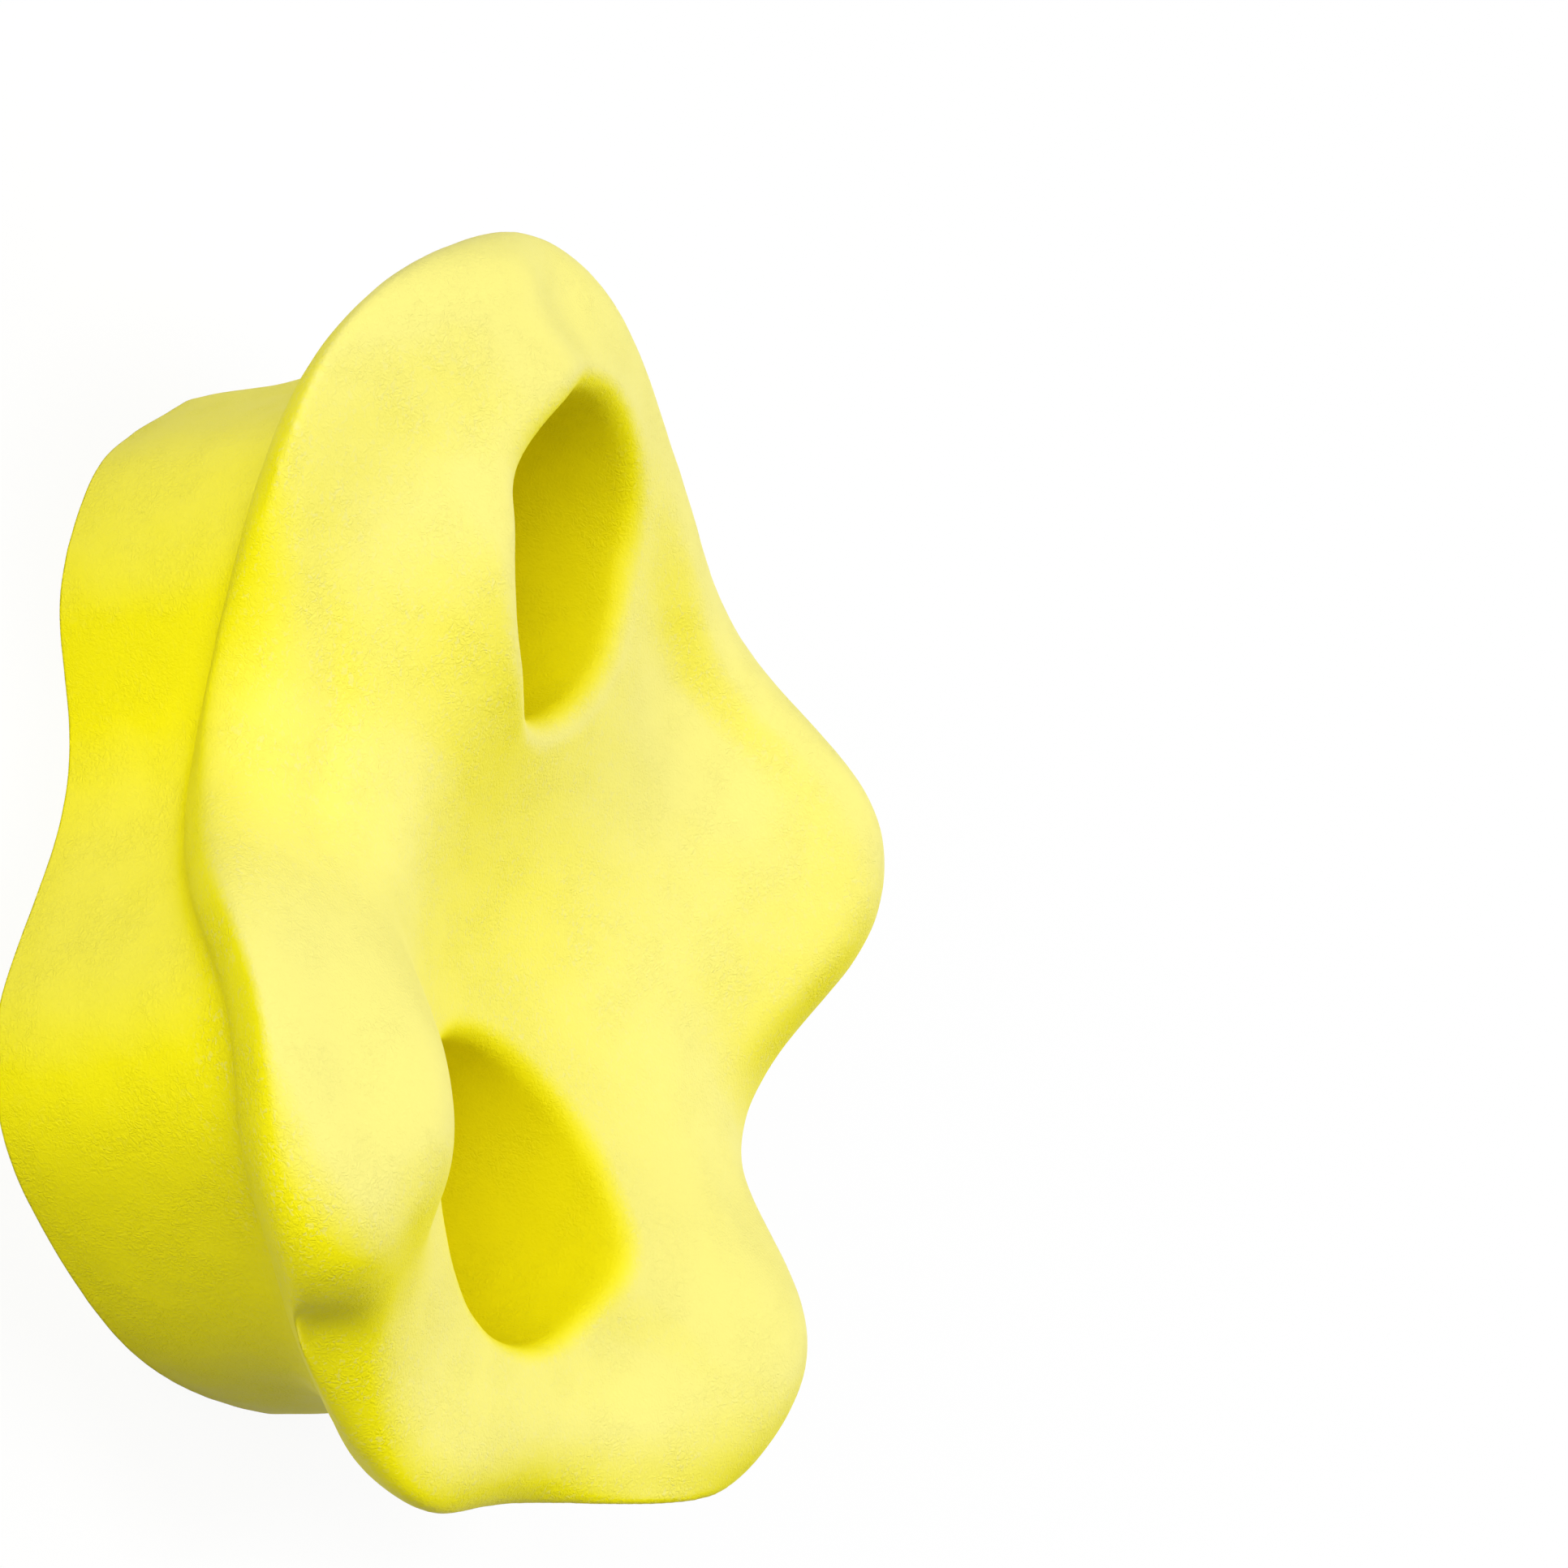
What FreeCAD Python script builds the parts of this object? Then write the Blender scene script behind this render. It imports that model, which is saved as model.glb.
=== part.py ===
"""Indoor climbing hold: a moulded shell with two bolt wells, each with an oval seat insert.

Frame: X along the line of the two bolts, Y across it, Z out of the wall.
The origin lies on the rear plane, midway between the bolts. Lengths are in millimetres.
"""
import FreeCAD, Part
import math
import os

Vector = FreeCAD.Vector

# Overall size of the shell
LENGTH = 105.0
WIDTH = 90.0
HEIGHT = 41.0

# Bolt slots and the seats that the washers press on. An oval is its run longer than it is wide.
BOLT_SPACING = 52.0
SLOT_WIDTH = 11.0
SLOT_RUN = 4.0
SEAT_LEVEL = 5.0
SEAT_WIDTH = 20.5
SEAT_RUN = 3.0

# Bolt wells, from the seat up to the crown. Where the wall between a well and the end of the
# shell is thin, the mouth's round is no more than a share of it.
WELL_DRAFT = 0.055
MOUTH_ROUND = 2.2
MOUTH_WALL_SHARE = 0.25

# Seat inserts
INSERT_THICKNESS = 3.0
INSERT_CLEARANCE = 0.15
SLEEVE_WALL = 2.0
INSERT_EDGE_ROUND = 0.4

# Walls behind the crown
OUTER_WALL = 4.0
ROOF_WALL = 4.0
BOSS_WALL = 3.0
RIB_THICKNESS = 2.0
RIB_PITCH = 12.0
RIB_COUNT = 7

# Flank of the shell
SKIRT_DRAFT = 0.03
CREST_INSET = 7.0
LIP_UPPER_INSET = 0.7
LIP_SHOULDER_INSET = 3.0

# Power of the distance between two rows that sets how far apart the surface takes them to be
ROW_SPACING_POWER = 0.75

# Spare length by which every cutting tool runs past what it cuts
OVERRUN = 5.0

# Two shapes nearer than this touch
TOUCH = 0.001

# One row for each station round the outline, starting at the left end lobe and going clockwise
# as seen from the front: the crown's widest point and its height, then the rear outline below it,
# then the height of the crease between skirt and crown. Places in X are shares of half the length,
# places in Y of half the width, and heights of the height.
OUTLINE_SHARES = (
    (-1.01, -0.05, 0.75, -0.82, -0.06, 0.29),
    (-0.96, 0.19, 0.73, -0.78, 0.14, 0.33),
    (-0.82, 0.38, 0.71, -0.68, 0.31, 0.40),
    (-0.65, 0.53, 0.73, -0.54, 0.41, 0.42),
    (-0.48, 0.68, 0.75, -0.39, 0.53, 0.42),
    (-0.33, 0.86, 0.77, -0.25, 0.68, 0.47),
    (-0.16, 0.99, 0.82, -0.12, 0.78, 0.53),
    (0.05, 0.99, 0.86, 0.06, 0.77, 0.50),
    (0.25, 0.89, 0.65, 0.23, 0.70, 0.42),
    (0.46, 0.86, 0.53, 0.39, 0.67, 0.38),
    (0.67, 0.85, 0.63, 0.54, 0.64, 0.40),
    (0.85, 0.72, 0.70, 0.67, 0.56, 0.42),
    (0.97, 0.52, 0.76, 0.77, 0.41, 0.42),
    (0.99, 0.27, 0.68, 0.81, 0.22, 0.38),
    (0.985, 0.02, 0.55, 0.82, 0.03, 0.29),
    (0.995, -0.24, 0.57, 0.79, -0.20, 0.29),
    (0.91, -0.43, 0.56, 0.74, -0.38, 0.39),
    (0.78, -0.63, 0.59, 0.66, -0.53, 0.46),
    (0.67, -0.86, 0.72, 0.55, -0.67, 0.52),
    (0.49, -0.97, 0.74, 0.42, -0.78, 0.54),
    (0.28, -0.98, 0.73, 0.26, -0.80, 0.53),
    (0.09, -0.90, 0.60, 0.10, -0.71, 0.39),
    (-0.08, -0.74, 0.46, -0.08, -0.59, 0.30),
    (-0.28, -0.67, 0.44, -0.25, -0.56, 0.34),
    (-0.49, -0.70, 0.57, -0.42, -0.58, 0.42),
    (-0.70, -0.66, 0.67, -0.58, -0.51, 0.47),
    (-0.86, -0.50, 0.73, -0.69, -0.40, 0.48),
    (-0.96, -0.28, 0.76, -0.78, -0.21, 0.38),
)

# Rows of the skirt, from the rear plane to the crease: shares of the height of the crease
SKIRT_ROW_SHARES = (0.45, 0.86)

# Underside of the crown, from the crease out to the widest point: shares of the way out and up
UNDERSIDE_SHARES = ((0.10, 0.07), (0.55, 0.38), (0.85, 0.68))

# Roll over the widest point: shares of the rise from there to the crest
UPPER_RISE_SHARE = 0.40
SHOULDER_RISE_SHARE = 0.80

# Rows between the crest and the middle of the crown: shares of the way out from the middle
INNER_ROW_SHARES = (0.74, 0.60, 0.46, 0.32, 0.18, 0.06)
MIDDLE_SHARE = 0.06

# Height of the crown before its relief, and its fall towards +X, as shares of the height
CROWN_BASE_SHARE = 0.710
CROWN_FALL_SHARE = 0.066

# Relief of the crown, one rounded hill or hollow in each row: its place as shares of half the
# length and half the width, its rise as a share of the height, its two radii as shares of half
# the length, and its turn in degrees.
RELIEF_SHARES = {
    "hill round the left well": (-0.65, -0.18, 0.205, 0.24, 0.23, 0),
    "near rim of the left well": (-0.33, -0.21, 0.070, 0.145, 0.100, 0),
    "left shoulder": (-0.87, 0.33, 0.045, 0.15, 0.17, 0),
    "top lobe": (-0.07, 0.98, 0.328, 0.27, 0.21, 0),
    "shoulder of the top lobe": (-0.54, 0.66, 0.175, 0.19, 0.125, 35),
    "far rim of the right well": (0.53, 0.30, 0.030, 0.15, 0.13, 0),
    "right upper lobe": (0.78, 0.61, 0.250, 0.23, 0.25, 0),
    "notch of the right upper side": (0.44, 0.80, -0.085, 0.12, 0.12, 0),
    "middle hollow": (0.22, 0.02, -0.165, 0.28, 0.235, 12),
    "saddle of the lower notch": (-0.19, -0.73, -0.225, 0.17, 0.15, 0),
    "lower lobe": (0.47, -0.70, 0.235, 0.20, 0.145, 0),
    "ridge of the lower lobe": (0.25, -0.56, 0.048, 0.135, 0.085, 0),
    "valley beside the lower lobe": (0.82, -0.60, -0.130, 0.080, 0.095, 0),
    "fall of the lower left side": (-0.72, -0.64, -0.125, 0.305, 0.15, 0),
    "finger dimple above the left well": (-0.38, 0.50, -0.040, 0.115, 0.067, 35),
    "finger dimple below the left well": (-0.59, -0.42, -0.060, 0.124, 0.067, -37),
    "dip beside the right well": (0.78, 0.24, -0.050, 0.067, 0.115, -10),
    "dip at the left end": (-0.88, -0.04, -0.030, 0.076, 0.076, 0),
}

half_length = LENGTH / 2
half_width = WIDTH / 2
middle_x = MIDDLE_SHARE * half_length
slot_length = SLOT_WIDTH + SLOT_RUN
seat_length = SEAT_WIDTH + SEAT_RUN
end_wall = half_length - (BOLT_SPACING + seat_length) / 2
mouth_round = min(MOUTH_ROUND, MOUTH_WALL_SHARE * end_wall)


def crown_height(x, y):
    """Height of the crown above the rear plane at a place inside the crest."""
    height = HEIGHT * (CROWN_BASE_SHARE - CROWN_FALL_SHARE * x / half_length)
    for x_share, y_share, rise_share, radius_share, cross_share, turn in RELIEF_SHARES.values():
        across_x = x - x_share * half_length
        across_y = y - y_share * half_width
        cosine = math.cos(math.radians(turn))
        sine = math.sin(math.radians(turn))
        along = (cosine * across_x + sine * across_y) / (radius_share * half_length)
        cross = (cosine * across_y - sine * across_x) / (cross_share * half_length)
        height += HEIGHT * rise_share * math.exp(-(along ** 2 + cross ** 2) / 2)
    return height


def outward_normals(places):
    """Unit vectors square to a closed clockwise outline, pointing out of it."""
    normals = []
    for index in range(len(places)):
        following = places[(index + 1) % len(places)]
        along = following - places[index - 1]
        normals.append(Vector(-along.y, along.x, 0).normalize())
    return normals


def skin_rows():
    """Rows of points round the shell, from the rear plane over the lip towards the middle."""
    lips = [Vector(s[0] * half_length, s[1] * half_width, s[2] * HEIGHT) for s in OUTLINE_SHARES]
    feet = [Vector(s[3] * half_length, s[4] * half_width, 0) for s in OUTLINE_SHARES]
    creases = [s[5] * HEIGHT for s in OUTLINE_SHARES]
    normals = outward_normals(feet)
    middle = Vector(middle_x, 0, 0)
    rows = [feet]
    for climb in SKIRT_ROW_SHARES:
        rows.append([foot + normal * (SKIRT_DRAFT * crease * climb) + Vector(0, 0, crease * climb)
                     for foot, normal, crease in zip(feet, normals, creases)])
    tops = [foot + normal * (SKIRT_DRAFT * crease) + Vector(0, 0, crease)
            for foot, normal, crease in zip(feet, normals, creases)]
    for out, up in UNDERSIDE_SHARES:
        rows.append([Vector(top.x + (lip.x - top.x) * out, top.y + (lip.y - top.y) * out,
                            top.z + (lip.z - top.z) * up) for top, lip in zip(tops, lips)])
    rows.append(lips)
    flat_lips = [Vector(lip.x, lip.y, 0) for lip in lips]
    inward = [(middle - lip).normalize() for lip in flat_lips]
    crests = []
    for lip, step in zip(flat_lips, inward):
        crest = lip + step * CREST_INSET
        crests.append(Vector(crest.x, crest.y, crown_height(crest.x, crest.y)))
    for inset, rise in ((LIP_UPPER_INSET, UPPER_RISE_SHARE), (LIP_SHOULDER_INSET, SHOULDER_RISE_SHARE)):
        rows.append([Vector(lip.x + step.x * inset, lip.y + step.y * inset,
                            lip.z + (crest.z - lip.z) * rise)
                     for lip, step, crest in zip(lips, inward, crests)])
    rows.append(crests)
    for share in INNER_ROW_SHARES:
        row = []
        for lip in flat_lips:
            place = middle + (lip - middle) * share
            row.append(Vector(place.x, place.y, crown_height(place.x, place.y)))
        rows.append(row)
    return rows


def row_parameters(rows):
    """Running spacing from the rear plane to each row, averaged round the shell."""
    parameters = [0.0]
    for lower, upper in zip(rows, rows[1:]):
        steps = [(high - low).Length ** ROW_SPACING_POWER for low, high in zip(lower, upper)]
        parameters.append(parameters[-1] + sum(steps) / len(steps))
    return parameters


def skin_surface(rows, middle):
    """Smooth surface through all rows, which closes in the middle point of the crown."""
    stations = [float(index) for index in range(len(rows[0]) + 1)]
    climbs = row_parameters(rows + [[middle] * len(rows[0])])
    ring_poles = []
    ring = None
    for row in rows:
        ring = Part.BSplineCurve()
        ring.interpolate(Points=row, PeriodicFlag=True, Parameters=stations)
        ring_poles.append(ring.getPoles())
    ring_poles.append([middle] * len(ring_poles[0]))
    poles = []
    climb = None
    for column in zip(*ring_poles):
        climb = Part.BSplineCurve()
        climb.interpolate(Points=list(column), Parameters=climbs)
        poles.append(climb.getPoles())
    surface = Part.BSplineSurface()
    surface.buildFromPolesMultsKnots(
        poles, ring.getMultiplicities(), climb.getMultiplicities(), ring.getKnots(), climb.getKnots(),
        True, False, ring.Degree, climb.Degree)
    return surface


def solid_shell():
    """The moulding's outer form as one closed solid, with a flat rear face."""
    middle = Vector(middle_x, 0, crown_height(middle_x, 0))
    skin = skin_surface(skin_rows(), middle).toShape()
    rim = min(skin.Edges, key=lambda edge: edge.BoundBox.ZMax)
    rear = Part.Face(Part.Wire([rim]))
    shell = Part.makeShell([skin, rear])
    shell.sewShape()
    return Part.makeSolid(shell)


def oval_wire(length, width, level):
    """Oval with two straight sides along X and round ends."""
    end = width / 2
    straight = (length - width) / 2
    lower_left = Vector(-straight, -end, level)
    lower_right = Vector(straight, -end, level)
    upper_right = Vector(straight, end, level)
    upper_left = Vector(-straight, end, level)
    return Part.Wire([
        Part.LineSegment(lower_left, lower_right).toShape(),
        Part.Arc(lower_right, Vector(straight + end, 0, level), upper_right).toShape(),
        Part.LineSegment(upper_right, upper_left).toShape(),
        Part.Arc(upper_left, Vector(-straight - end, 0, level), lower_left).toShape(),
    ])


def oval_block(length, width, bottom, top, flare=0.0):
    """Oval solid between two levels. Its sides lean out by flare for each unit of height."""
    spread = 2 * flare * (top - bottom)
    return Part.makeLoft([oval_wire(length, width, bottom),
                          oval_wire(length + spread, width + spread, top)], True, True)


def at_bolts(shape):
    """Copies of a shape at the two bolts."""
    copies = []
    for side in (-1, 1):
        copy = shape.copy()
        copy.translate(Vector(side * BOLT_SPACING / 2, 0, 0))
        copies.append(copy)
    return copies


def rear_cells(outer):
    """Hollow cells behind the crown, left between the outer wall, the bosses and the ribs."""
    spline = Part.BSplineCurve()
    feet = [Vector(s[3] * half_length, s[4] * half_width, 0) for s in OUTLINE_SHARES]
    normals = outward_normals(feet)
    inner = [foot - normal * OUTER_WALL for foot, normal in zip(feet, normals)]
    spline.interpolate(Points=inner, PeriodicFlag=True)
    face = Part.Face(Part.Wire([spline.toShape()]))
    face.translate(Vector(0, 0, -OVERRUN))
    prism = face.extrude(Vector(0, 0, HEIGHT + OVERRUN))
    boss_length = seat_length + 2 * BOSS_WALL
    boss_width = SEAT_WIDTH + 2 * BOSS_WALL
    webs = at_bolts(oval_block(boss_length, boss_width, -OVERRUN, HEIGHT, WELL_DRAFT))
    for index in range(RIB_COUNT):
        place = (index - (RIB_COUNT - 1) / 2) * RIB_PITCH
        webs.append(Part.makeBox(RIB_THICKNESS, WIDTH, HEIGHT + OVERRUN,
                                 Vector(place - RIB_THICKNESS / 2, -half_width, -OVERRUN)))
    webs.append(Part.makeBox(BOLT_SPACING, RIB_THICKNESS, HEIGHT + OVERRUN,
                             Vector(-BOLT_SPACING / 2, -RIB_THICKNESS / 2, -OVERRUN)))
    plan = prism.cut(webs[0].fuse(webs[1:]))
    lowered = outer.copy()
    lowered.translate(Vector(0, 0, -ROOF_WALL))
    # A sliver smaller than a cube of half the rib pitch is left solid
    sliver = (RIB_PITCH / 2) ** 3
    return [cell for cell in lowered.common(plan).Solids if cell.Volume > sliver]


def mouth_edges(crown, skin, wells):
    """Edges where the wells break through the skin of the crown."""
    edges = []
    for edge in crown.Edges:
        middle = Part.Vertex(edge.valueAt((edge.FirstParameter + edge.LastParameter) / 2))
        if all(middle.distToShape(shape)[0] < TOUCH for shape in (skin, wells)):
            edges.append(edge)
    return edges


def hold_body():
    """Moulded shell with its crown, skirt, bolt wells and ribbed back."""
    outer = solid_shell()
    well = oval_block(seat_length, SEAT_WIDTH, SEAT_LEVEL, HEIGHT + OVERRUN, WELL_DRAFT)
    pocket = oval_block(seat_length, SEAT_WIDTH, SEAT_LEVEL - INSERT_THICKNESS, SEAT_LEVEL)
    sleeve_length = slot_length + 2 * (SLEEVE_WALL + INSERT_CLEARANCE)
    sleeve_width = SLOT_WIDTH + 2 * (SLEEVE_WALL + INSERT_CLEARANCE)
    passage = oval_block(sleeve_length, sleeve_width, -OVERRUN, SEAT_LEVEL - INSERT_THICKNESS)
    wells = Part.makeCompound(at_bolts(well))
    skin = max(outer.Faces, key=lambda face: face.Area)
    crown = outer.cut(wells)
    mouths = mouth_edges(crown, skin, wells)
    crown = crown.makeFillet(mouth_round, mouths)
    body = crown.cut(at_bolts(pocket) + at_bolts(passage))
    return body.cut(rear_cells(outer))


def seat_insert():
    """Oval seat plate with a slotted sleeve that reaches the rear plane."""
    plate = oval_block(seat_length - 2 * INSERT_CLEARANCE, SEAT_WIDTH - 2 * INSERT_CLEARANCE,
                       SEAT_LEVEL - INSERT_THICKNESS, SEAT_LEVEL)
    rim = [edge for edge in plate.Edges if edge.BoundBox.ZMin > SEAT_LEVEL - TOUCH]
    plate = plate.makeFillet(INSERT_EDGE_ROUND, rim)
    sleeve = oval_block(slot_length + 2 * SLEEVE_WALL, SLOT_WIDTH + 2 * SLEEVE_WALL,
                        0, SEAT_LEVEL - INSERT_THICKNESS)
    slot = oval_block(slot_length, SLOT_WIDTH, -OVERRUN, SEAT_LEVEL + OVERRUN)
    return plate.fuse(sleeve).removeSplitter().cut(slot)


os.makedirs("parts", exist_ok=True)
hold_body().exportStep("parts/hold_body.step")
for name, insert in zip(("left_seat_insert", "right_seat_insert"), at_bolts(seat_insert())):
    insert.exportStep("parts/" + name + ".step")
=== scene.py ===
"""Studio picture of a moulded climbing hold.

The hold is one plastic shell with a lobed crown, a waisted skirt and two bolt wells, and each
well has an oval seat insert. Everything is in metres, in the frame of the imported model: X along
the bolt slots, Y across them, Z out of the wall, with the rear plane at Z = 0.
"""
import logging
import math
from dataclasses import dataclass
from enum import Enum

import bmesh
import bpy
import numpy as np
from mathutils import Matrix, Vector, noise


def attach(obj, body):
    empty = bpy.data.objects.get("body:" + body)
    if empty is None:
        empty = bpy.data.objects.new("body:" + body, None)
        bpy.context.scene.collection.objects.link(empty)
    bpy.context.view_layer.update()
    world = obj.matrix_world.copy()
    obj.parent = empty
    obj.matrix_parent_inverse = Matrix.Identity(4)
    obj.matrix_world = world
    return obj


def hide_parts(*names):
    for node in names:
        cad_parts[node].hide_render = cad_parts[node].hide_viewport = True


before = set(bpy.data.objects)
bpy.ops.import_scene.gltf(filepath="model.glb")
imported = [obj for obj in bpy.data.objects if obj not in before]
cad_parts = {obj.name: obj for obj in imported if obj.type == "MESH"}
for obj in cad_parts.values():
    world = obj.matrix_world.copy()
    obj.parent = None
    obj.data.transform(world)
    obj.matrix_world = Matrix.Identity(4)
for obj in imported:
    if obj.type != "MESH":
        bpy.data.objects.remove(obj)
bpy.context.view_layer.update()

MILLIMETRE = 0.001
ROOT_BODY = "root"

# The wells, as ovals round two places on X: half their spacing, half their straight run, the
# radius of their walls halfway up, and the width of their rounded rims
WELL_PLACE = 26.0 * MILLIMETRE
WELL_RUN = 1.5 * MILLIMETRE
WELL_RADIUS = 11.3 * MILLIMETRE
WELL_RIM = 2.2 * MILLIMETRE

# Heights: where the skirt ends and the lip has begun, and where the crown goes from hollow to ridge
SKIRT_TOP = 17.0 * MILLIMETRE
LIP_LEVEL = 22.0 * MILLIMETRE
HOLLOW_LEVEL = 18.0 * MILLIMETRE
RIDGE_LEVEL = 31.0 * MILLIMETRE

logging.basicConfig(level=logging.INFO, format="%(message)s")
log = logging.getLogger("climbing_hold")

Triple = tuple[float, float, float]
Socket = bpy.types.NodeSocket


class Noise(Enum):
    """Kinds of solid noise that a finish can be built from."""

    CLOUDS = "ShaderNodeTexNoise"
    CELLS = "ShaderNodeTexVoronoi"


class NodeSheet:
    """Short ways to add and join nodes in one node tree."""

    def __init__(self, tree: bpy.types.NodeTree) -> None:
        """Keeps the tree that nodes are added to.

        Args:
            tree: A material's, world's or group's node tree.
        """
        self.tree = tree

    def add(self, kind: str, settings: dict | None = None, inputs: dict | None = None) -> bpy.types.Node:
        """Adds a node and fills its inputs.

        Args:
            kind: The node's type name.
            settings: Properties of the node, by name.
            inputs: Values or sockets for its inputs, by name or by number.

        Returns:
            The new node.
        """
        node = self.tree.nodes.new(kind)
        for name, value in (settings or {}).items():
            setattr(node, name, value)
        for key, value in (inputs or {}).items():
            self.feed(node.inputs[key], value)
        return node

    def feed(self, target: Socket, value: object) -> None:
        """Joins a socket to an input, or sets the input's value.

        Args:
            target: The input socket.
            value: An output socket, or a plain value.
        """
        if isinstance(value, Socket):
            self.tree.links.new(value, target)
        else:
            target.default_value = value

    def maths(self, operation: str, *values: object, clamp: bool = False) -> Socket:
        """Adds a sum, product or other operation on numbers.

        Args:
            operation: The operation's name.
            values: Numbers or sockets, in order.
            clamp: True to keep the result between 0 and 1.

        Returns:
            The result's socket.
        """
        node = self.add("ShaderNodeMath", {"operation": operation, "use_clamp": clamp},
                        dict(enumerate(values)))
        return node.outputs[0]

    def vector_maths(self, operation: str, *values: object) -> bpy.types.Node:
        """Adds an operation on vectors and returns its node.

        Args:
            operation: The operation's name.
            values: Vectors or sockets, in order.

        Returns:
            The node, whose outputs are Vector and Value.
        """
        return self.add("ShaderNodeVectorMath", {"operation": operation}, dict(enumerate(values)))

    def ramp(self, value: object, low: float, high: float, bottom: float = 0.0,
             top: float = 1.0) -> Socket:
        """Adds a smooth step of a value between two limits.

        Args:
            value: The socket to be mapped.
            low: The value that gives bottom.
            high: The value that gives top.
            bottom: The lowest result.
            top: The highest result.

        Returns:
            The result's socket.
        """
        node = self.add("ShaderNodeMapRange", {"interpolation_type": "SMOOTHSTEP", "clamp": True},
                        {"Value": value, "From Min": low, "From Max": high,
                         "To Min": bottom, "To Max": top})
        return node.outputs["Result"]

    def clouds(self, place: Socket, scale: float, detail: float,
               roughness: float = 0.5) -> bpy.types.Node:
        """Adds solid cloud noise.

        Args:
            place: Where it is read.
            scale: How fine it is.
            detail: How many finer layers it has.
            roughness: How strong the finer layers are.

        Returns:
            The noise node, whose outputs are Fac and Color.
        """
        return self.add(Noise.CLOUDS.value, inputs={"Vector": place, "Scale": scale,
                                                    "Detail": detail, "Roughness": roughness})

    def blend(self, share: object, first: object, second: object) -> Socket:
        """Adds a mix of two colours.

        Args:
            share: How much of the second colour shows, from 0 to 1.
            first: The first colour or socket.
            second: The second colour or socket.

        Returns:
            The mixed colour's socket.
        """
        node = self.add("ShaderNodeMix", {"data_type": "RGBA"})
        self.feed(node.inputs["Factor"], share)
        self.feed(node.inputs[6], first)
        self.feed(node.inputs[7], second)
        return node.outputs[2]

    def background_rays(self) -> Socket:
        """Adds a mask that is 1 for rays that show the background, seen or mirrored.

        Returns:
            The mask's socket.
        """
        path = self.add("ShaderNodeLightPath")
        mirrored = self.maths("MAXIMUM", path.outputs["Is Glossy Ray"],
                              path.outputs["Is Transmission Ray"])
        return self.maths("MAXIMUM", path.outputs["Is Camera Ray"], mirrored)


@dataclass(frozen=True)
class LeatherRecipe:
    """Numbers of the leathery grain, for a wrinkle of unit size."""

    warp_scale: float = 0.55
    warp_reach: float = 2.6
    soft_detail: float = 2.0
    crease_width: float = 0.32
    fine_scale: float = 2.2
    fine_detail: float = 4.0
    fine_roughness: float = 0.6
    patch_scale: float = 0.09
    patch_low: float = 0.38
    patch_high: float = 0.62
    pebble_share: float = 0.55
    fine_share: float = 0.9
    fleck_stretch: Triple = (0.55, 1.5, 0.8)
    fleck_scale: float = 1.25
    fleck_detail: float = 1.0
    fleck_low: float = 0.585
    fleck_high: float = 0.66


@dataclass(frozen=True)
class ScratchRecipe:
    """Numbers of the hairline scratches."""

    detail: float = 3.0
    roughness: float = 0.7
    low: float = 0.62
    high: float = 0.70


@dataclass(frozen=True)
class PaintedHighlightRecipe:
    """Numbers of the painted highlight: its clouds, the share of it left low down in the crown's
    hollows, which paints shade there, and the share of the painted glint flecks left low on the skirt.
    """

    cloud_scale: float = 70.0
    cloud_detail: float = 3.0
    cloud_swing: float = 0.24
    # Painted shade: how much of the painted highlight is left in the hollows, and how much of the
    # painted glint flecks is left on the skirt.
    hollow_share: float = 0.40
    skirt_share: float = 0.10


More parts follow.
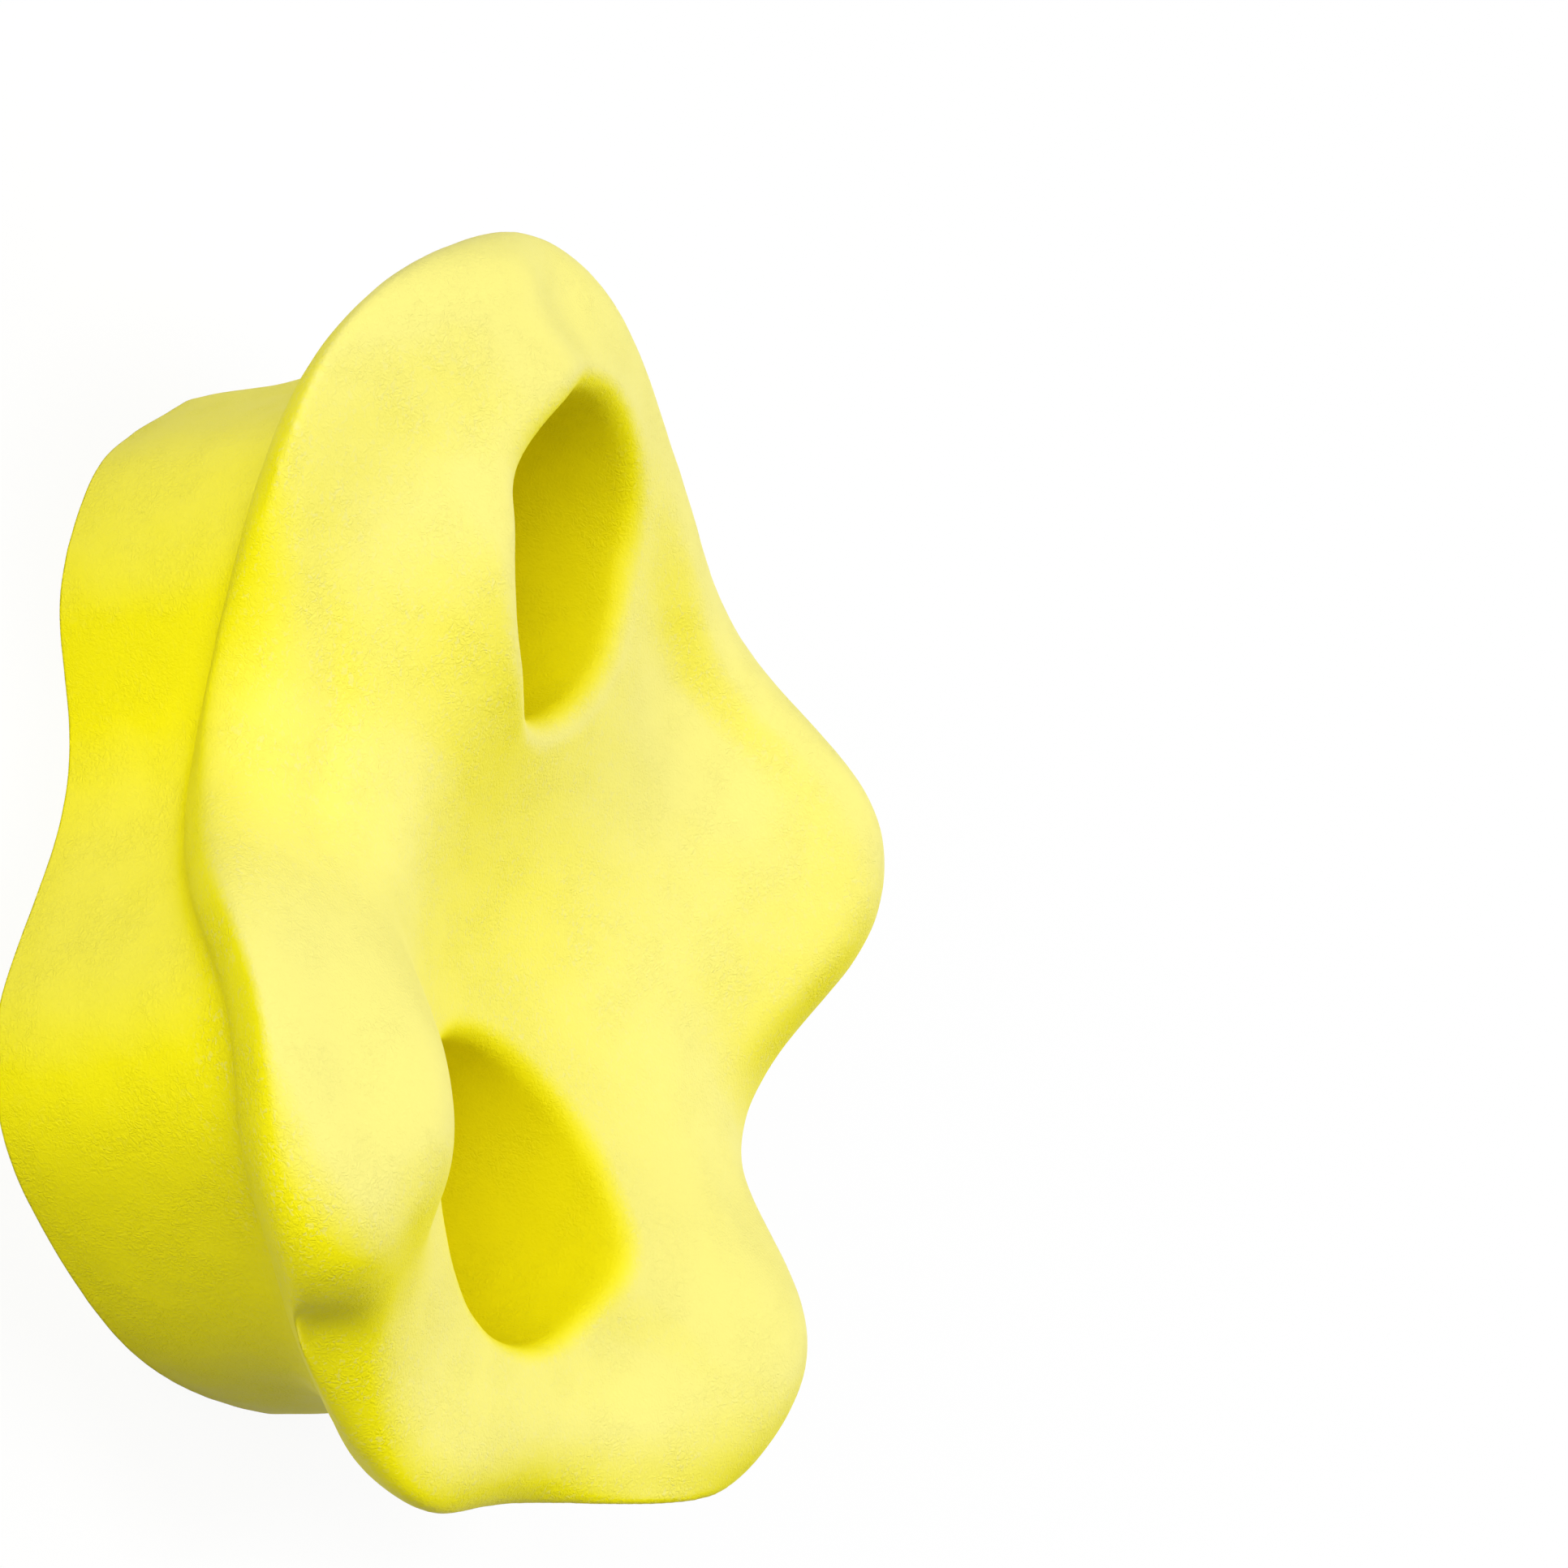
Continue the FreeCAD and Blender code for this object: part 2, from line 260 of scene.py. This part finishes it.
class EffectGroups:
    """Shader node groups that several finishes share, each built once."""

    leather = LeatherRecipe()
    scratch = ScratchRecipe()
    painted_light = PaintedHighlightRecipe()

    def __init__(self) -> None:
        """Starts with no groups built."""
        self.built: dict[str, bpy.types.NodeTree] = {}

    def place(self, sheet: NodeSheet, name: str, inputs: dict) -> bpy.types.Node:
        """Puts a shared group into a material.

        Args:
            sheet: The material's sheet.
            name: The group's name, which is also the name of its method here.
            inputs: Values or sockets for the group's inputs.

        Returns:
            The group node.
        """
        if name not in self.built:
            self.built[name] = getattr(self, name)()
        return sheet.add("ShaderNodeGroup", {"node_tree": self.built[name]}, inputs)

    @staticmethod
    def start(name: str, inputs: dict[str, tuple], outputs: dict[str, str]
              ) -> tuple[bpy.types.NodeTree, NodeSheet, bpy.types.Node, bpy.types.Node]:
        """Makes an empty group with its sockets.

        Args:
            name: The group's name.
            inputs: Socket kind and default value, by input name.
            outputs: Socket kind, by output name.

        Returns:
            The tree, its sheet, its input node and its output node.
        """
        tree = bpy.data.node_groups.new(name, "ShaderNodeTree")
        for label, (kind, value) in inputs.items():
            socket = tree.interface.new_socket(label, in_out="INPUT", socket_type=kind)
            if value is not None:
                socket.default_value = value
        for label, kind in outputs.items():
            tree.interface.new_socket(label, in_out="OUTPUT", socket_type=kind)
        sheet = NodeSheet(tree)
        return tree, sheet, sheet.add("NodeGroupInput"), sheet.add("NodeGroupOutput")

    def leather_grain(self) -> bpy.types.NodeTree:
        """Fine wrinkles and pebbles of a leathery mould surface, as a height, and a mask of flecks that
        the finishes paint as pale glints.

        Returns:
            The group's tree.
        """
        tree, sheet, given, result = self.start(
            "leather_grain",
            {"Position": ("NodeSocketVector", None),
             "Wrinkle Size": ("NodeSocketFloat", 1.0),
             "Patchiness": ("NodeSocketFloat", 0.5)},
            {"Height": "NodeSocketFloat", "Flecks": "NodeSocketFloat"})
        metres = given.outputs["Position"]
        wrinkle = given.outputs["Wrinkle Size"]
        scaled = sheet.vector_maths("DIVIDE", metres, wrinkle).outputs[0]
        warp = sheet.clouds(scaled, self.leather.warp_scale, self.leather.soft_detail)
        shift = sheet.vector_maths("MULTIPLY", warp.outputs["Color"],
                                   (self.leather.warp_reach,) * 3).outputs[0]
        bent = sheet.vector_maths("ADD", scaled, shift).outputs[0]
        cells = sheet.add(Noise.CELLS.value, {"feature": "DISTANCE_TO_EDGE"},
                          {"Vector": bent, "Scale": 1.0, "Randomness": 1.0})
        pebble = sheet.ramp(cells.outputs["Distance"], 0.0, self.leather.crease_width)
        fine = sheet.clouds(bent, self.leather.fine_scale, self.leather.fine_detail,
                            self.leather.fine_roughness)
        soft = sheet.clouds(scaled, self.leather.patch_scale, self.leather.soft_detail)
        patch = sheet.ramp(soft.outputs["Fac"], self.leather.patch_low, self.leather.patch_high)
        kept = sheet.maths("MULTIPLY", patch, given.outputs["Patchiness"])
        depth = sheet.maths("SUBTRACT", 1.0, kept)
        mixed = sheet.maths("MULTIPLY_ADD", pebble, self.leather.pebble_share,
                            sheet.maths("MULTIPLY", fine.outputs["Fac"], self.leather.fine_share))
        sheet.feed(result.inputs["Height"], sheet.maths("MULTIPLY", mixed, depth))
        # Streaky flecks on the grain, used as painted glints.
        drawn = sheet.vector_maths("MULTIPLY", bent, self.leather.fleck_stretch).outputs[0]
        streak = sheet.clouds(drawn, self.leather.fleck_scale, self.leather.fleck_detail)
        peaks = sheet.ramp(streak.outputs["Fac"], self.leather.fleck_low, self.leather.fleck_high)
        sheet.feed(result.inputs["Flecks"], sheet.maths("MULTIPLY", peaks, depth))
        return tree

    def hair_scratches(self) -> bpy.types.NodeTree:
        """Faint straight hairlines in one direction, as a height.

        Returns:
            The group's tree.
        """
        tree, sheet, given, result = self.start(
            "hair_scratches",
            {"Position": ("NodeSocketVector", None),
             "Stretch": ("NodeSocketVector", (1.0, 1.0, 1.0)),
             "Turn": ("NodeSocketVector", (0.0, 0.0, 0.0))},
            {"Height": "NodeSocketFloat"})
        turned = sheet.add("ShaderNodeVectorRotate", {"rotation_type": "EULER_XYZ"},
                           {"Vector": given.outputs["Position"], "Rotation": given.outputs["Turn"]})
        stretched = sheet.vector_maths("MULTIPLY", turned.outputs[0],
                                       given.outputs["Stretch"]).outputs[0]
        lines = sheet.clouds(stretched, 1.0, self.scratch.detail, self.scratch.roughness)
        sheet.feed(result.inputs["Height"],
                   sheet.ramp(lines.outputs["Fac"], self.scratch.low, self.scratch.high))
        return tree

    def painted_highlight(self) -> bpy.types.NodeTree:
        """Painted highlight: a paler colour on the faces turned towards the light, with painted shade in
        the hollows and inside the wells, where less or none of it is left; and a mask of where the
        painted glint flecks show, more on the crown than on the skirt and not inside the wells.

        Returns:
            The group's tree.
        """
        tree, sheet, given, result = self.start(
            "painted_highlight",
            {"Normal": ("NodeSocketVector", None),
             "Position": ("NodeSocketVector", None),
             "Lean": ("NodeSocketVector", (-1.4, -0.15, 1.2)),
             "Floor": ("NodeSocketFloat", -0.05),
             "Painted Well Shade": ("NodeSocketFloat", 1.0)},
            {"Painted Highlight": "NodeSocketFloat", "Glint Reach": "NodeSocketFloat"})
        # Painted highlight: paler where the normal faces the lean, towards the light.
        facing = sheet.vector_maths("DOT_PRODUCT", given.outputs["Normal"], given.outputs["Lean"])
        clouds = sheet.clouds(given.outputs["Position"], self.painted_light.cloud_scale,
                              self.painted_light.cloud_detail)
        uneven = sheet.maths("MULTIPLY_ADD", clouds.outputs["Fac"], self.painted_light.cloud_swing,
                             -self.painted_light.cloud_swing / 2)
        painted_light = sheet.maths("ADD", facing.outputs["Value"], given.outputs["Floor"])
        patchy = sheet.maths("ADD", painted_light, uneven, clamp=True)
        # Painted shade in the wells: the painted highlight is taken out inside the wells' ovals.
        place = sheet.add("ShaderNodeSeparateXYZ", inputs={0: given.outputs["Position"]})
        along = sheet.maths("SUBTRACT", sheet.maths("ABSOLUTE", place.outputs[0]), WELL_PLACE)
        beyond = sheet.maths("MAXIMUM", sheet.maths("SUBTRACT", sheet.maths("ABSOLUTE", along),
                                                    WELL_RUN), 0.0)
        away = sheet.maths("SQRT", sheet.maths("ADD", sheet.maths("POWER", beyond, 2.0),
                                               sheet.maths("POWER", place.outputs[1], 2.0)))
        outside = sheet.ramp(away, WELL_RADIUS, WELL_RADIUS + WELL_RIM)
        kept = sheet.maths("MAXIMUM", outside,
                           sheet.maths("SUBTRACT", 1.0, given.outputs["Painted Well Shade"]))
        height = place.outputs[2]
        # Painted shade in the hollows: less of the painted highlight low down on the crown.
        raised = sheet.ramp(height, HOLLOW_LEVEL, RIDGE_LEVEL, self.painted_light.hollow_share, 1.0)
        sheet.feed(result.inputs["Painted Highlight"],
                   sheet.maths("MULTIPLY", sheet.maths("MULTIPLY", patchy, kept), raised))
        # Where the painted glint flecks may show: more on the crown than on the skirt, and not inside
        # the wells.
        crown = sheet.ramp(height, SKIRT_TOP, LIP_LEVEL, self.painted_light.skirt_share, 1.0)
        sheet.feed(result.inputs["Glint Reach"], sheet.maths("MULTIPLY", crown, kept))
        return tree


@dataclass(frozen=True)
class MouldedPlastic:
    """Satin through-coloured plastic with a leathery mould surface, whose colour carries a painted
    highlight and painted glint flecks.
    """

    name: str
    deep: Triple
    pale: Triple
    roughness: float
    wrinkle_mm: float
    grain_depth_mm: float
    fleck_share: float
    # Painted highlight: the direction its faces lean to and its offset. The last of these, at 1, paints
    # shade inside the wells by leaving the highlight out there.
    highlight_lean: Triple = (-1.40, -0.15, 1.20)
    highlight_floor: float = -0.05
    painted_well_shade: float = 1.0
    refraction: float = 1.45
    sheen_level: float = 0.1
    gloss_swing: float = 0.10
    scratch_depth_mm: float = 0.004
    scratch_stretch: Triple = (120.0, 1800.0, 1800.0)
    scratch_turn: Triple = (0.0, 0.5, 0.3)

    def material(self, groups: EffectGroups) -> bpy.types.Material:
        """Builds the finish as a node material.

        Args:
            groups: The shared effects.

        Returns:
            The material.
        """
        material = bpy.data.materials.new(self.name)
        material.use_nodes = True
        material.node_tree.nodes.clear()
        sheet = NodeSheet(material.node_tree)
        places = sheet.add("ShaderNodeTexCoord")
        position = places.outputs["Object"]
        grain = groups.place(sheet, "leather_grain",
                             {"Position": position, "Wrinkle Size": self.wrinkle_mm * MILLIMETRE})
        painted_light = groups.place(sheet, "painted_highlight",
                            {"Position": position, "Normal": places.outputs["Normal"],
                             "Lean": self.highlight_lean, "Floor": self.highlight_floor,
                             "Painted Well Shade": self.painted_well_shade})
        scratches = groups.place(sheet, "hair_scratches",
                                 {"Position": position, "Stretch": self.scratch_stretch,
                                  "Turn": self.scratch_turn})
        # Painted light on the colour: the painted highlight and the painted glint flecks shift it from
        # deep towards pale. Inside the wells and in the hollows, the deep colour that is left is painted
        # shade.
        glint_reach = sheet.maths("MULTIPLY", painted_light.outputs["Glint Reach"], self.fleck_share)
        flecks = sheet.maths("MULTIPLY", grain.outputs["Flecks"], glint_reach)
        paleness = sheet.maths("ADD", painted_light.outputs["Painted Highlight"], flecks, clamp=True)
        colour = sheet.blend(paleness, (*self.deep, 1.0), (*self.pale, 1.0))
        bump = sheet.add("ShaderNodeBump", inputs={"Height": grain.outputs["Height"], "Strength": 1.0,
                                                   "Distance": self.grain_depth_mm * MILLIMETRE})
        scratched = sheet.add("ShaderNodeBump",
                              inputs={"Height": scratches.outputs["Height"], "Strength": 1.0,
                                      "Distance": self.scratch_depth_mm * MILLIMETRE,
                                      "Normal": bump.outputs["Normal"]})
        gloss = sheet.maths("MULTIPLY_ADD", grain.outputs["Height"], self.gloss_swing,
                            self.roughness - self.gloss_swing / 2)
        shader = sheet.add("ShaderNodeBsdfPrincipled",
                           inputs={"Base Color": colour, "Roughness": gloss, "IOR": self.refraction,
                                   "Specular IOR Level": self.sheen_level,
                                   "Normal": scratched.outputs["Normal"]})
        output = sheet.add("ShaderNodeOutputMaterial")
        sheet.feed(output.inputs["Surface"], shader.outputs[0])
        return material


# In both finishes deep is the plastic's own yellow, and pale is the colour of the painted highlight and
# the painted glints.
SHELL_FINISH = MouldedPlastic(
    name="leathery_yellow_plastic", deep=(0.95, 0.86, 0.004), pale=(0.88, 0.81, 0.212),
    roughness=0.50, wrinkle_mm=0.45, grain_depth_mm=0.055, fleck_share=0.40)
SEAT_FINISH = MouldedPlastic(
    name="smooth_yellow_plastic", deep=(0.94, 0.86, 0.04), pale=(0.91, 0.84, 0.22),
    roughness=0.42, wrinkle_mm=0.9, grain_depth_mm=0.012, fleck_share=0.05,
    highlight_floor=-0.45, painted_well_shade=0.0)


@dataclass
class HoldShell:
    """The moulding: crown, skirt, wells and ribbed back, as one closed mesh."""

    node: str = "hold_body"
    slot: str = "body_plastic"
    voxel: float = 0.45 * MILLIMETRE
    smoothing_rounds: int = 8
    smoothing_push: float = 0.5
    smoothing_pull: float = 0.53
    rear_band: float = 0.01 * MILLIMETRE
    rear_spare: float = 2.0 * MILLIMETRE
    swell_wave: float = 3.2 * MILLIMETRE
    swell_height: float = 0.05 * MILLIMETRE
    dent_place_mm: Triple = (39.8, -31.2, 25.8)
    dent_facing: Triple = (0.84, -0.10, 0.53)
    dent_depth: float = 2.1 * MILLIMETRE
    dent_above: float = 5.2 * MILLIMETRE
    dent_below: float = 8.0 * MILLIMETRE
    dent_aside: float = 5.0 * MILLIMETRE
    dent_reach: float = 5.0 * MILLIMETRE
    finish: MouldedPlastic = SHELL_FINISH

    def remeshed(self) -> bpy.types.Mesh:
        """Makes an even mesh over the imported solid, whose rear is drawn down to be cut off later.

        Returns:
            The new mesh, in the row's frame.
        """
        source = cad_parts[self.node]
        stand_in = bpy.data.objects.new("shell_source", source.data.copy())
        for vertex in stand_in.data.vertices:
            if vertex.co.z < self.rear_band:
                vertex.co.z = -self.rear_spare
        bpy.context.scene.collection.objects.link(stand_in)
        step = stand_in.modifiers.new("even", "REMESH")
        step.mode = "VOXEL"
        step.voxel_size = self.voxel
        ready = stand_in.evaluated_get(bpy.context.evaluated_depsgraph_get())
        mesh = bpy.data.meshes.new_from_object(ready)
        bpy.data.objects.remove(stand_in)
        return mesh

    def cut_flat(self, mesh: bpy.types.Mesh) -> None:
        """Cuts the spare length off the rear and closes the cut with flat faces.

        Args:
            mesh: The shell's mesh.
        """
        work = bmesh.new()
        work.from_mesh(mesh)
        for face in work.faces:
            face.smooth = True
        cut = bmesh.ops.bisect_plane(work, geom=work.verts[:] + work.edges[:] + work.faces[:],
                                     plane_co=(0, 0, 0), plane_no=(0, 0, -1), clear_outer=True)
        rim = [piece for piece in cut["geom_cut"] if isinstance(piece, bmesh.types.BMEdge)]
        cap = bmesh.ops.triangle_fill(work, edges=rim, use_beauty=True, normal=(0, 0, -1))
        for piece in cap["geom"]:
            if isinstance(piece, bmesh.types.BMFace):
                piece.smooth = False
        work.to_mesh(mesh)
        work.free()

    def smoothed(self, points: np.ndarray, edges: np.ndarray) -> np.ndarray:
        """Takes the facets out of a mesh without shrinking it.

        Args:
            points: The vertices.
            edges: Pairs of vertex numbers.

        Returns:
            The new vertices.
        """
        count = len(points)
        ends = np.concatenate([edges, edges[:, ::-1]])
        valence = np.bincount(ends[:, 0], minlength=count)[:, None]
        for _ in range(self.smoothing_rounds):
            for step in (self.smoothing_push, -self.smoothing_pull):
                total = np.stack([np.bincount(ends[:, 0], weights=points[ends[:, 1], axis],
                                              minlength=count) for axis in range(3)], axis=1)
                points = points + step * (total / valence - points)
        return points

    def swelled(self, points: np.ndarray, normals: np.ndarray) -> np.ndarray:
        """Adds the slow unevenness of a moulded surface.

        Args:
            points: The vertices.
            normals: Their unit normals.

        Returns:
            The new vertices.
        """
        waves = np.array([noise.noise(Vector(point) / self.swell_wave) for point in points])
        return points + normals * (waves * self.swell_height)[:, None]

    def dented(self, points: np.ndarray, normals: np.ndarray) -> np.ndarray:
        """Presses the one shallow dent into the outer lip, steep above and gentle below.

        Args:
            points: The vertices.
            normals: Their unit normals.

        Returns:
            The new vertices.
        """
        outward = np.array(Vector(self.dent_facing).normalized())
        aside = np.array(Vector((0, 0, 1)).cross(Vector(outward)).normalized())
        above = np.cross(outward, aside)
        offset = points - np.array(self.dent_place_mm) * MILLIMETRE
        rise, side, out = offset @ above, offset @ aside, offset @ outward
        run = np.where(rise > 0, self.dent_above, self.dent_below)
        share = np.exp(-(rise / run) ** 2 - (side / self.dent_aside) ** 2 - (out / self.dent_reach) ** 2)
        facing = np.clip(normals @ outward, 0, 1)
        return points - outward * (share * facing * self.dent_depth)[:, None]

    def build(self, groups: EffectGroups) -> bpy.types.Object:
        """Builds and dresses the shell.

        Args:
            groups: The shared effects.

        Returns:
            The shell's object.
        """
        mesh = self.remeshed()
        count = len(mesh.vertices)
        flat = np.empty(count * 3)
        mesh.vertices.foreach_get("co", flat)
        pairs = np.empty(len(mesh.edges) * 2, dtype=np.int32)
        mesh.edges.foreach_get("vertices", pairs)
        points = self.smoothed(flat.reshape(-1, 3), pairs.reshape(-1, 2))
        mesh.vertices.foreach_set("co", points.ravel())
        mesh.update()
        facing = np.empty(count * 3)
        mesh.vertices.foreach_get("normal", facing)
        normals = facing.reshape(-1, 3)
        points = self.dented(self.swelled(points, normals), normals)
        mesh.vertices.foreach_set("co", points.ravel())
        mesh.update()
        self.cut_flat(mesh)
        mesh.materials.clear()
        mesh.materials.append(self.finish.material(groups))
        shell = bpy.data.objects.new("moulded_shell", mesh)
        bpy.context.scene.collection.objects.link(shell)
        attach(shell, ROOT_BODY)
        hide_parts(self.node)
        log.info("moulded_shell: %d vertices", count)
        return shell


@dataclass
class SeatInserts:
    """The two oval seats at the bottom of the wells, kept as they are packed."""

    nodes: tuple[str, ...] = ("left_seat_insert", "right_seat_insert")
    finish: MouldedPlastic = SEAT_FINISH

    def build(self, groups: EffectGroups) -> None:
        """Dresses the inserts.

        Args:
            groups: The shared effects.
        """
        material = self.finish.material(groups)
        for name in self.nodes:
            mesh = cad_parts[name].data
            mesh.materials.clear()
            mesh.materials.append(material)
            log.info("%s: dressed", name)


@dataclass(frozen=True)
class SoftLamp:
    """One large soft lamp, far from the hold."""

    name: str
    direction: Triple
    level: float
    spread: float

    def hang(self) -> None:
        """Adds the lamp to the scene."""
        light = bpy.data.lights.new(self.name, "SUN")
        light.energy = self.level
        light.angle = math.radians(self.spread)
        lamp = bpy.data.objects.new(self.name, light)
        lamp.rotation_mode = "QUATERNION"
        lamp.rotation_quaternion = Vector(self.direction).to_track_quat("Z", "Y")
        bpy.context.scene.collection.objects.link(lamp)


@dataclass
class Studio:
    """Floor, light and camera round the hold."""

    image_pixels: float = 1932.0
    focal_pixels: float = 6570.0
    sensor_mm: float = 36.0
    camera_place_mm: Triple = (59.04, -378.03, 247.11)
    camera_azimuth: float = 9.576
    camera_elevation: float = 26.970
    camera_roll: float = 83.32
    clip_near: float = 0.01
    clip_far: float = 20.0
    floor_size: float = 6.0
    floor_grey: float = 0.4
    floor_seen: float = 0.95
    floor_white: float = 0.92
    world_level: float = 0.24
    world_dim: float = 0.08
    dim_side: Triple = (1.0, -0.15, -0.10)
    dim_edge: float = -0.20
    dim_core: float = 0.70
    lamps: tuple[SoftLamp, ...] = (
        SoftLamp("front_softbox", (-0.13, 0.0, 1.0), 1.10, 28.0),
        SoftLamp("lower_softbox", (-0.18, -0.84, 0.51), 1.60, 45.0),
        SoftLamp("lower_fill", (-0.14, -0.98, 0.12), 0.78, 15.0),
        SoftLamp("upper_softbox", (0.02, 0.82, 0.57), 1.30, 50.0),
    )

    def floor(self) -> None:
        """Lays the pale floor that the rear plane rests on."""
        half = self.floor_size / 2
        mesh = bpy.data.meshes.new("floor")
        mesh.from_pydata([(-half, -half, 0), (half, -half, 0), (half, half, 0), (-half, half, 0)],
                         [], [(0, 1, 2, 3)])
        material = bpy.data.materials.new("pale_floor")
        material.use_nodes = True
        material.node_tree.nodes.clear()
        sheet = NodeSheet(material.node_tree)
        seen = sheet.background_rays()
        shade = sheet.blend(seen, (self.floor_grey,) * 3 + (1.0,), (self.floor_seen,) * 3 + (1.0,))
        matt = sheet.add("ShaderNodeBsdfDiffuse", inputs={"Color": shade})
        white = sheet.add("ShaderNodeEmission", inputs={"Color": (1.0, 1.0, 1.0, 1.0), "Strength": 1.0})
        share = sheet.maths("MULTIPLY", seen, self.floor_white)
        mixed = sheet.add("ShaderNodeMixShader",
                          inputs={0: share, 1: matt.outputs[0], 2: white.outputs[0]})
        output = sheet.add("ShaderNodeOutputMaterial")
        sheet.feed(output.inputs["Surface"], mixed.outputs[0])
        mesh.materials.append(material)
        floor = bpy.data.objects.new("floor", mesh)
        bpy.context.scene.collection.objects.link(floor)

    def world(self) -> None:
        """Wraps the hold in a little soft light, with less of it from one side."""
        world = bpy.data.worlds.new("soft_studio")
        world.use_nodes = True
        world.node_tree.nodes.clear()
        bpy.context.scene.world = world
        sheet = NodeSheet(world.node_tree)
        place = sheet.add("ShaderNodeTexCoord")
        towards = sheet.vector_maths("DOT_PRODUCT", place.outputs["Generated"],
                                     Vector(self.dim_side).normalized())
        level = sheet.ramp(towards.outputs["Value"], self.dim_edge, self.dim_core,
                           self.world_level, self.world_dim)
        missing = sheet.maths("SUBTRACT", 1.0, level)
        strength = sheet.maths("MULTIPLY_ADD", sheet.background_rays(), missing, level)
        back = sheet.add("ShaderNodeBackground",
                         inputs={"Color": (1.0, 1.0, 1.0, 1.0), "Strength": strength})
        output = sheet.add("ShaderNodeOutputWorld")
        sheet.feed(output.inputs["Surface"], back.outputs[0])

    def camera(self) -> None:
        """Sets the camera where the picture was taken from."""
        eye = bpy.data.cameras.new("camera")
        eye.sensor_width = self.sensor_mm
        eye.lens = self.focal_pixels * self.sensor_mm / self.image_pixels
        eye.clip_start = self.clip_near
        eye.clip_end = self.clip_far
        holder = bpy.data.objects.new("camera", eye)
        tilt = Matrix.Rotation(math.radians(90 - self.camera_elevation), 4, "X")
        swing = Matrix.Rotation(math.radians(self.camera_azimuth), 4, "Z")
        roll = Matrix.Rotation(math.radians(self.camera_roll), 4, "Z")
        place = Matrix.Translation(Vector(self.camera_place_mm) * MILLIMETRE)
        holder.matrix_world = place @ swing @ tilt @ roll
        bpy.context.scene.collection.objects.link(holder)
        bpy.context.scene.camera = holder

    def build(self) -> None:
        """Sets up the floor, the light, the camera and the plain view settings."""
        self.floor()
        self.world()
        for lamp in self.lamps:
            lamp.hang()
        self.camera()
        bpy.context.scene.view_settings.view_transform = "Standard"
        log.info("studio: ready")


def main() -> None:
    """Builds the hold and its studio."""
    groups = EffectGroups()
    HoldShell().build(groups)
    SeatInserts().build(groups)
    Studio().build()


if __name__ == "__main__":
    main()
